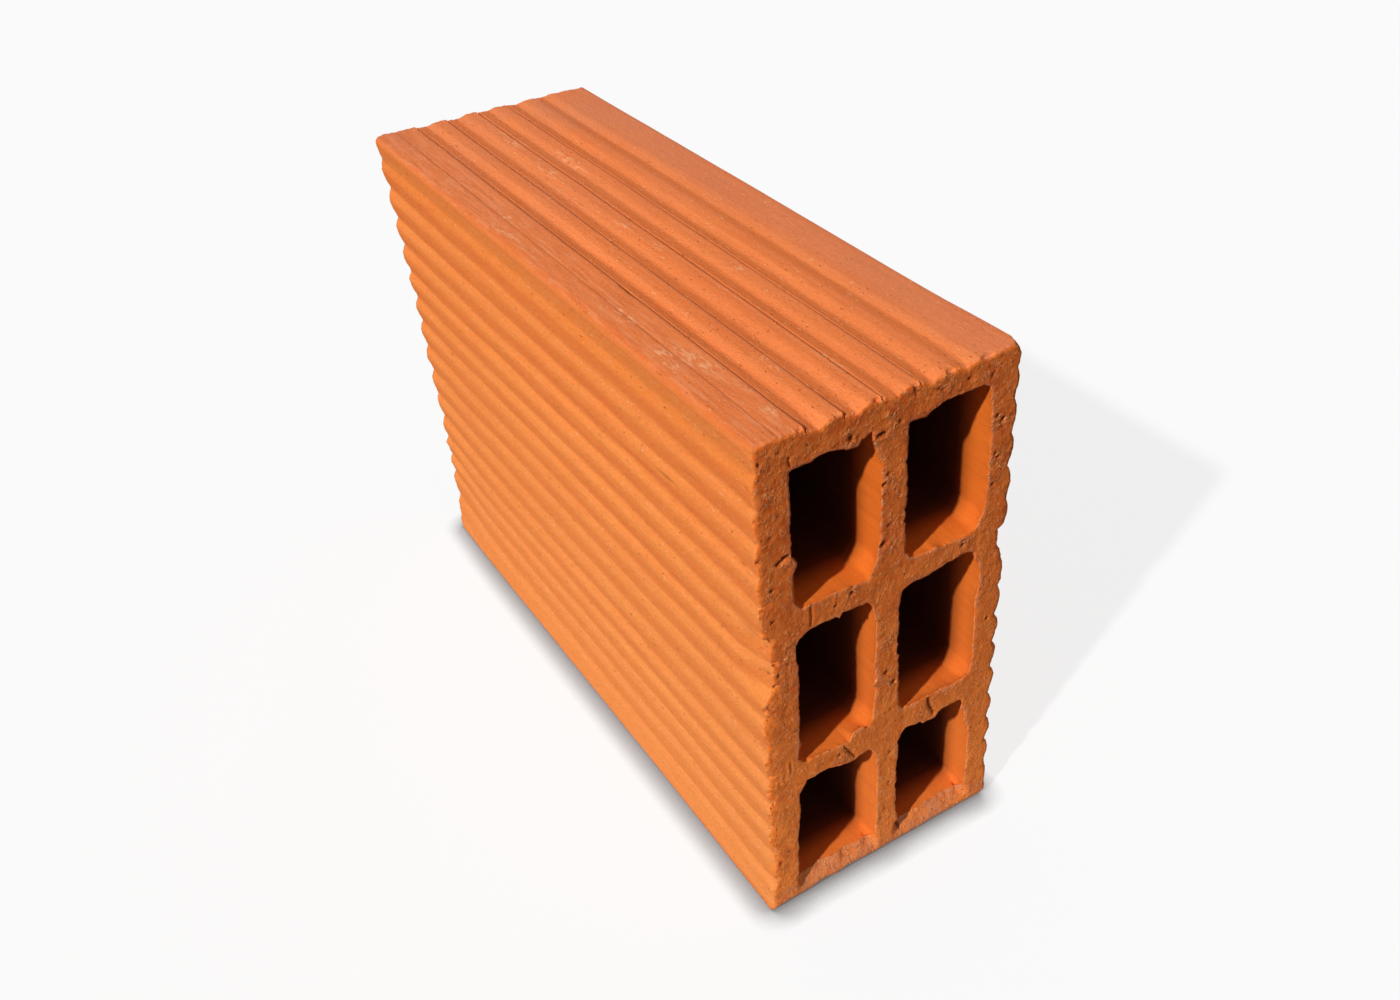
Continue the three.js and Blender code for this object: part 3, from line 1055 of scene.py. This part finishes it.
def bow_faces(clay):
    """The long faces drawn in at mid-height."""
    along = clay.far_deep / LENGTH
    belly = np.sin(math.pi * np.clip(clay.down / HEIGHT, 0, 1))
    left, right = (far + (near - far) * along for near, far in (LEFT_BOW, RIGHT_BOW))
    side = clay.start[:, 1] / HALF_THICKNESS
    clay.at[:, 1] += belly * (left * np.clip(-side, 0, 1) - right * np.clip(side, 0, 1))


def draw_in_heel(clay):
    """The left face, drawn in low down at the far end."""
    low = within(clay.down, *HEEL_RANGE) * np.exp(-(clay.far_deep / HEEL_LENGTH) ** 2) * clay.left
    clay.at[:, 1] += HEEL_INSET * low * np.clip(-clay.start[:, 1] / HALF_THICKNESS, 0, 1) ** 2


SHAPING = (
    drift_flutes, draw_flutes, ripple_skin, groove_beds, land_flute, wear_arris, sharpen_foot, follow_rims,
    hole_skin, scuff_bed, crumble_cut, tear_cut, ragged_edges, dig_pits, open_cracks, stir_swirl,
    raise_lips, wear_lip, drag_edges, dent_sides, knock_chips, bow_faces, draw_in_heel,
)


def build_brick(finishes):
    """The brick as one mesh, with its finishes by place and a flat layout of its surface."""
    surface = draw_surface()
    clay = Clay(surface)
    for shape in SHAPING:
        shape(clay)
    # Painted shade deep in the cells, carried by the "inner" mark
    clay.mark("inner", clay.cell * rise(clay.end_deep, *CELL_SHADE_PAINTED_FROM))
    places = np.clip(clay.at, LOW, HIGH)
    mesh = bpy.data.meshes.new("clay_brick")
    mesh.from_pydata((places * MM).tolist(), [], surface.faces)
    for finish in finishes:
        mesh.materials.append(finish)
    mesh.polygons.foreach_set("material_index", surface.finish)
    mesh.polygons.foreach_set("use_smooth", [True] * len(mesh.polygons))
    layout = mesh.uv_layers.new(name="OFBake")
    flat = np.array(surface.layout)
    layout.uv.foreach_set("vector", (flat / flat.max()).astype(np.float32).ravel())
    for name, values in clay.marks.items():
        mesh.attributes.new(name, "FLOAT", "POINT").data.foreach_set("value", values.astype(np.float32))
    mesh.validate()
    brick = bpy.data.objects.new("clay_brick", mesh)
    bpy.context.scene.collection.objects.link(brick)
    return brick


# ---------------------------------------------------------------------------- materials

# How far the strokes left by handling lean on the long faces
STROKE_LEAN = math.radians(35)

# Where the colour of the brick changes: the axis, where the change starts and where it is complete. Low
# down most colours are lighter and paler, which is painted light, as thrown up from the floor; high up
# the skin is a deeper orange, and towards the far end its tone changes too.
LOWER_PART_PAINTED_LIGHT = ("Z", 150.0, 20.0)
UPPER_PART = ("Z", 145.0, HEIGHT)
FAR_PART = ("X", 20.0, -HALF_LENGTH)


def linear(hex_colour):
    """An sRGB hex colour as linear red, green, blue and alpha."""
    channels = [int(hex_colour[i:i + 2], 16) / 255 for i in (1, 3, 5)]
    return [c / 12.92 if c <= 0.04045 else ((c + 0.055) / 1.055) ** 2.4 for c in channels] + [1.0]


def add_node(tree, kind, links=None, output=None, **settings):
    """Adds a node and returns its output, the first in use if none is named. `links` gives its
    sockets, by name or number, a value, a hex colour or another node's output."""
    made = tree.nodes.new(kind)
    for name, value in settings.items():
        setattr(made, name, value)
    for name, value in (links or {}).items():
        named = [s for s in made.inputs if s.name == name and s.enabled]
        socket = made.inputs[name] if isinstance(name, int) else named[0]
        if isinstance(value, bpy.types.NodeSocket):
            tree.links.new(value, socket)
        else:
            socket.default_value = linear(value) if isinstance(value, str) else value
    if output:
        return made.outputs[output]
    return next((s for s in made.outputs if s.enabled), None)


def start_material(name, marks=()):
    """A new material's node tree, empty but for the place on the brick in millimetres and the marks
    that the shaping left on the points."""
    material = bpy.data.materials.new(name)
    material.use_nodes = True
    tree = material.node_tree
    tree.nodes.clear()
    place = add_node(tree, "ShaderNodeTexCoord", output="Object")
    place = add_node(tree, "ShaderNodeVectorMath", {0: place, "Scale": 1 / MM}, operation="SCALE")
    left = {mark: add_node(tree, "ShaderNodeAttribute", attribute_name=mark, output="Fac")
            for mark in marks}
    return material, tree, place, left


def part_of(tree, place, axis, start, end):
    """From 0 at start to 1 at end, in millimetres along an axis of the brick."""
    spot = add_node(tree, "ShaderNodeSeparateXYZ", {0: place}, output=axis)
    return add_node(tree, "ShaderNodeMapRange", {"Value": spot, "From Min": start, "From Max": end})


def pattern(tree, place, size, detail=2, low=0.3, high=0.7, only=None):
    """Noise whose bumps are `size` millimetres along X, Y and Z, spread from 0 to 1. `only` is where
    it shows."""
    stretched = add_node(tree, "ShaderNodeMapping", {"Vector": place, "Scale": [1 / s for s in size]})
    noise = add_node(tree, "ShaderNodeTexNoise", {"Vector": stretched, "Scale": 1.0, "Detail": detail})
    spread = add_node(tree, "ShaderNodeMapRange", {"Value": noise, "From Min": low, "From Max": high})
    if only is None:
        return spread
    return add_node(tree, "ShaderNodeMath", {0: spread, 1: only}, operation="MULTIPLY")


def coated(tree, colour, coats):
    """The colour under coats. Each coat has where it lies, from 0 to 1, its own colour, and how much
    of that shows at most."""
    for where, tone, most in coats:
        share = add_node(tree, "ShaderNodeMath", {0: where, 1: most}, operation="MULTIPLY")
        links = {"Factor": share, "A": colour, "B": tone}
        colour = add_node(tree, "ShaderNodeMix", links, data_type="RGBA")
    return colour


def finish_material(material, tree, colour, relief, roughness):
    """Closes a material: matt fired clay, with its relief as outputs and their heights in mm."""
    height = 0.0
    for output, amount in relief:
        links = {0: output, 1: amount, 2: height}
        height = add_node(tree, "ShaderNodeMath", links, operation="MULTIPLY_ADD")
    bump = add_node(tree, "ShaderNodeBump", {"Height": height, "Distance": MM})
    shader = add_node(tree, "ShaderNodeBsdfPrincipled", {
        "Base Color": colour, "Roughness": roughness, "Normal": bump,
        "Specular IOR Level": 0.2, "IOR": 1.5})
    add_node(tree, "ShaderNodeOutputMaterial", {"Surface": shader})
    return material


def drawn_skin():
    """Terracotta drawn through the die: a tight matt skin with long drag streaks, orange on the
    long faces and pinker on the beds, whose crests were dulled on the drying rack and scuffed."""
    material, tree, place, left = start_material("terracotta_drawn_skin", (
        "bed", "deep", "pale", "edge", "plain", "land", "scuff", "wear", "score", "hole"))
    # Low down the colours are painted lighter and paler, as light thrown up from the floor
    low, high, far = (part_of(tree, place, *part) for part in (LOWER_PART_PAINTED_LIGHT, UPPER_PART, FAR_PART))
    drift = pattern(tree, place, (40, 14, 12), 3)
    blotch = pattern(tree, place, (12, 6, 5), 3)
    yellow = pattern(tree, place, (20, 8, 6), 3)
    streaks = pattern(tree, place, (130, 2.0, 2.0), 3)
    lines = pattern(tree, place, (120, 1.3, 1.3), 2)
    sand = pattern(tree, place, (0.9, 0.7, 0.7), 3)
    flecks = pattern(tree, place, (2.4, 1.2, 1.2), 2, 0.64, 0.74)
    grains = pattern(tree, place, (2.0, 1.0, 1.0), 2, 0.32, 0.24)
    dull = pattern(tree, place, (45, 25, 25), 2, only=far)
    chalk = pattern(tree, place, (3.0, 1.3, 1.3), 4, 0.48, 0.62, left["scuff"])
    worn = pattern(tree, place, (16, 1.6, 1.6), 4, 0.4, 0.62, left["land"])
    dust = pattern(tree, place, (14, 1.5, 1.5), 4, 0.48, 0.64, left["land"])
    leaning = add_node(tree, "ShaderNodeVectorRotate", {"Vector": place, "Angle": STROKE_LEAN},
                       rotation_type="Y_AXIS")
    strokes = pattern(tree, leaning, (9, 2.0, 1.5), 3)
    # Painted shade: the tone that the "deep" mark lays on the flanks of the long faces that face down
    underside_shade = coated(tree, "#fc762e", ((low, "#d97429", 1),))
    faces = coated(tree, "#ff9a46", (
        (drift, "#f68d3d", 1), (high, "#f88438", 0.7), (low, "#e0944c", 0.8), (blotch, "#dd7532", 0.3),
        (yellow, "#ea9344", 0.3), (far, "#de7632", 0.25), (strokes, "#fa9f58", 0.35),
        (lines, "#d2651e", 0.24), (left["deep"], underside_shade, 0.34)))
    # On the beds the "deep" mark lays painted shade on the drops and floors of the grooves
    beds = coated(tree, "#fa8846", (
        (drift, "#f27f40", 1), (blotch, "#e6733a", 0.4), (streaks, "#ff985a", 0.4),
        (dull, "#dc8e6c", 0.55), (left["plain"], "#d08468", 0.3), (left["deep"], "#cc6226", 0.3)))
    # The "pale" mark lays a painted highlight on flanks that face up and on the ramps of the grooves; the
    # "score" and "hole" marks lay painted shade in the scores and the holes
    colour = coated(tree, faces, (
        (left["bed"], beds, 1), (left["pale"], "#ffa064", 0.14), (left["edge"], "#d4682c", 0.35),
        (sand, "#c95f2a", 0.33), (flecks, "#ffb27c", 0.55), (grains, "#9a3c0c", 0.5),
        (worn, "#c46034", 0.26), (dust, "#fba878", 0.3), (chalk, "#ffb482", 0.7),
        (left["wear"], "#e89458", 0.5), (left["score"], "#7e2600", 0.95), (left["hole"], "#8a3c14", 0.8)))
    return finish_material(material, tree, colour, (
        (streaks, 0.08), (strokes, 0.1), (sand, 0.06), (blotch, 0.06), (flecks, 0.14), (grains, -0.25),
        (chalk, 0.1)), 0.9)


def cell_wall():
    """Terracotta drawn over the cores: smooth and deep orange, with faint lengthwise streaks. Deeper in
    the cells the colour is painted much darker, as shade, and low down it is painted lighter, as light
    thrown up from the floor."""
    material, tree, place, left = start_material("terracotta_cell_wall", ("inner",))
    streaks = pattern(tree, place, (90, 2.2, 2.2), 3)
    sand = pattern(tree, place, (1.0, 1.0, 1.0), 2)
    low = part_of(tree, place, *LOWER_PART_PAINTED_LIGHT)
    # The "inner" mark paints shade deep in the cells; low down the walls are painted lighter, as light from
    # the floor
    colour = coated(tree, "#ee7722", (
        (streaks, "#e66e1e", 1), (low, "#f08644", 0.3), (sand, "#c75e1e", 0.25),
        (left["inner"], "#341004", 0.95)))
    return finish_material(material, tree, colour, ((streaks, 0.08), (sand, 0.03)), 0.9)


def wire_cut():
    """Terracotta torn by the cutting wire: dull and rough, browner than the skin, with grit, pits and
    crumbly patches, and paler where it was chipped later. Pits, cracks and the swirl's troughs are
    painted dark, as shade, and low down the colour is painted lighter, as light from the floor."""
    material, tree, place, left = start_material("terracotta_wire_cut", (
        "rough", "arris", "wear", "swirl", "recess_painted_shade"))
    rough = left["rough"]
    loose = add_node(tree, "ShaderNodeMath", {0: rough, 1: 0.6, 2: 0.4}, operation="MULTIPLY_ADD")
    low = part_of(tree, place, *LOWER_PART_PAINTED_LIGHT)
    patches = pattern(tree, place, (10, 8, 12), 3)
    mottle = pattern(tree, place, (5, 4, 5), 3)
    crumbs = pattern(tree, place, (2.2, 2.2, 2.2), 3, only=loose)
    grit = pattern(tree, place, (0.8, 0.8, 0.8), 3, only=loose)
    flecks = pattern(tree, place, (1.7, 1.4, 1.4), 2, 0.56, 0.66, loose)
    grains = pattern(tree, place, (1.9, 1.5, 1.5), 2, 0.32, 0.23)
    # The last coat is painted shade in pits, cracks and the swirl's troughs
    colour = coated(tree, "#fa7c2a", (
        (patches, "#de5e1b", 1), (low, "#ff8a33", 0.85), (mottle, "#c8520a", 0.45),
        (crumbs, "#ffac5c", 0.7), (grit, "#a83c04", 0.7), (rough, "#e06a34", 0.3),
        (flecks, "#ffac72", 0.7), (grains, "#7c3008", 0.5), (left["arris"], "#f0b090", 0.6),
        (left["wear"], "#cc845c", 0.6), (left["swirl"], "#ff9c5c", 0.45), (left["recess_painted_shade"], "#742c0a", 0.8)))
    return finish_material(material, tree, colour, (
        (mottle, 0.25), (grit, 0.12), (crumbs, 0.24), (grains, -0.3), (flecks, 0.4)), 0.95)


# ---------------------------------------------------------------------------- the set

# The camera: its place, the way it looks as bearing and dip in degrees, and its roll
CAMERA_PLACE = (395.5, -200.4, 395.6)
CAMERA_BEARING = 148.25
CAMERA_DIP = 37.59
CAMERA_ROLL = -2.66

# Its picture in pixels: the size, the focal length and where the lens points, and its sensor in mm
PICTURE = (1400, 1000)
FOCAL_PIXELS = 1341
PICTURE_MIDDLE = (768.8, 538.5)
SENSOR = 36
CLIP_START = 10.0

# Each lamp by its name, the way that its light comes from, its strength and its spread in degrees
LAMPS = (("key", (0.285, -0.741, 0.608), 3.1, 2.0), ("fill", (-0.6, 0.8, 0.02), 1.2, 4.0))

# How bright the sky is level with the brick and overhead
SKY = (0.02, 0.36)

# The floor: how far it reaches, and how far it lies under the brick
FLOOR_REACH = 6000.0
FLOOR_DROP = 0.1

# What the floor throws back on the brick, from near its middle to further out
BOARD_REACH = (140.0, 480.0)
BOARD_TONE = (0.7, 0.12)

# The line of shadow under the brick: how wide, how much open floor gives the darkest and the lightest
# of it, and how bright it is there
CONTACT_REACH = 10.0
CONTACT_OPEN = (0.6, 0.93)
CONTACT_TONE = (0.14, 1.0)

# How much of the floor's look takes the lamps' shadow
LIT_SHARE = 0.18


def add_camera():
    """The camera, framed as a picture of PICTURE pixels."""
    data = bpy.data.cameras.new("camera")
    data.sensor_width = SENSOR
    data.lens = FOCAL_PIXELS * SENSOR / PICTURE[0]
    data.shift_x = -(PICTURE_MIDDLE[0] - PICTURE[0] / 2) / PICTURE[0]
    data.shift_y = (PICTURE_MIDDLE[1] - PICTURE[1] / 2) / PICTURE[0]
    data.clip_start = CLIP_START * MM
    camera = bpy.data.objects.new("camera", data)
    bearing, dip = math.radians(CAMERA_BEARING), math.radians(CAMERA_DIP)
    look = Vector((math.cos(dip) * math.cos(bearing), math.cos(dip) * math.sin(bearing), -math.sin(dip)))
    camera.rotation_mode = "QUATERNION"
    roll = Quaternion((0, 0, 1), math.radians(CAMERA_ROLL))
    camera.rotation_quaternion = look.to_track_quat("-Z", "Y") @ roll
    camera.location = Vector(CAMERA_PLACE) * MM
    bpy.context.scene.collection.objects.link(camera)
    bpy.context.scene.camera = camera


def add_light():
    """A key, a weak level fill from behind, and a sky that is brightest overhead. Seen straight, the
    surroundings are white."""
    for name, comes_from, strength, spread in LAMPS:
        data = bpy.data.lights.new(name, "SUN")
        data.energy = strength
        data.angle = math.radians(spread)
        lamp = bpy.data.objects.new(name, data)
        lamp.rotation_mode = "QUATERNION"
        lamp.rotation_quaternion = Vector(comes_from).to_track_quat("Z", "Y")
        bpy.context.scene.collection.objects.link(lamp)
    world = bpy.data.worlds.new("studio")
    world.use_nodes = True
    bpy.context.scene.world = world
    tree = world.node_tree
    tree.nodes.clear()
    way = add_node(tree, "ShaderNodeTexCoord", output="Generated")
    up = add_node(tree, "ShaderNodeSeparateXYZ", {0: way}, output="Z")
    sky = add_node(tree, "ShaderNodeMapRange", {"Value": up, "To Min": SKY[0], "To Max": SKY[1]})
    direct = [add_node(tree, "ShaderNodeLightPath", output=ray)
              for ray in ("Is Camera Ray", "Is Glossy Ray", "Is Transmission Ray")]
    seen = add_node(tree, "ShaderNodeMath", {0: direct[0], 1: direct[1]}, operation="MAXIMUM")
    seen = add_node(tree, "ShaderNodeMath", {0: seen, 1: direct[2]}, operation="MAXIMUM")
    strength = add_node(tree, "ShaderNodeMapRange", {"Value": seen, "To Min": sky, "To Max": 1.0})
    around = add_node(tree, "ShaderNodeBackground", {"Color": "#ffffff", "Strength": strength})
    add_node(tree, "ShaderNodeOutputWorld", {"Surface": around})


def floor_finish():
    """Pale matt board. It shows white, with the brick's own soft shadow and the line under it. The
    light that it throws back on the brick comes from close by."""
    material, tree, place, _ = start_material("pale_floor")
    away = add_node(tree, "ShaderNodeVectorMath", {0: place}, operation="LENGTH", output="Value")
    tone = add_node(tree, "ShaderNodeMapRange", {
        "Value": away, "From Min": BOARD_REACH[0], "From Max": BOARD_REACH[1],
        "To Min": BOARD_TONE[0], "To Max": BOARD_TONE[1]})
    board = add_node(tree, "ShaderNodeBsdfDiffuse", {"Color": tone})
    pale = add_node(tree, "ShaderNodeBsdfDiffuse", {"Color": "#f2f2f2"})
    open_floor = add_node(tree, "ShaderNodeAmbientOcclusion", {"Distance": CONTACT_REACH * MM},
                          output="AO", samples=4)
    shadow = add_node(tree, "ShaderNodeMapRange", {
        "Value": open_floor, "From Min": CONTACT_OPEN[0], "From Max": CONTACT_OPEN[1],
        "To Min": CONTACT_TONE[0], "To Max": CONTACT_TONE[1]})
    glow = add_node(tree, "ShaderNodeEmission", {"Color": "#ffffff", "Strength": shadow})
    seen = add_node(tree, "ShaderNodeMixShader", {"Fac": LIT_SHARE, 1: glow, 2: pale})
    path = add_node(tree, "ShaderNodeLightPath", output="Is Camera Ray")
    whole = add_node(tree, "ShaderNodeMixShader", {"Fac": path, 1: board, 2: seen})
    add_node(tree, "ShaderNodeOutputMaterial", {"Surface": whole})
    return material


def add_floor():
    """A wide pale floor, just under the brick."""
    mesh = bpy.data.meshes.new("floor")
    corners = np.array([(x * FLOOR_REACH, y * FLOOR_REACH, -FLOOR_DROP)
                        for x, y in ((-1, -1), (1, -1), (1, 1), (-1, 1))])
    mesh.from_pydata((corners * MM).tolist(), [], [(0, 1, 2, 3)])
    mesh.materials.append(floor_finish())
    floor = bpy.data.objects.new("floor", mesh)
    bpy.context.scene.collection.objects.link(floor)


add_camera()
add_light()
add_floor()
brick = build_brick([drawn_skin(), cell_wall(), wire_cut()])
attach(brick, "root")
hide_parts(NODE)

scene = bpy.context.scene
scene.view_settings.view_transform = "Standard"
